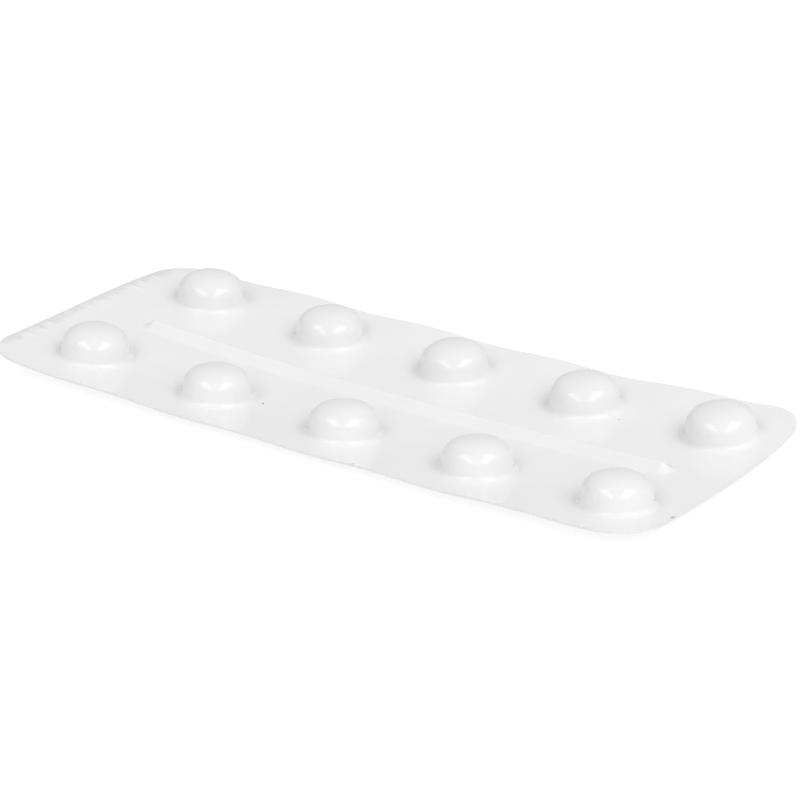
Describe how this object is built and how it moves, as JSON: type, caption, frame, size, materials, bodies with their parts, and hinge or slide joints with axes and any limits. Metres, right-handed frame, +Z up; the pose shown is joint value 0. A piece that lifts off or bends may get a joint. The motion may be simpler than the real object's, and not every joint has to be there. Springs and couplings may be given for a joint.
{
  "type": "tablet blister pack",
  "caption": "Sealed, opaque blister strip of tablets: white glossy film with two rows of domed pockets and a stiffening rib, slightly curled, lying on its backing.",
  "frame": {"origin": "middle of the footprint, on the flat middle of the underside that the strip rests on", "axes": "+X along the strip, from the stamped end to the plain end; +Y across it; +Z up through the pockets"},
  "size_m": [0.09, 0.0386, 0.0054],
  "materials": {
    "film": "smooth glossy thermoformed white film",
    "backing": "plain satin lidding foil, unprinted"
  },
  "bodies": {
    "root": {"blister_strip": "film"}
  },
  "joints": []
}
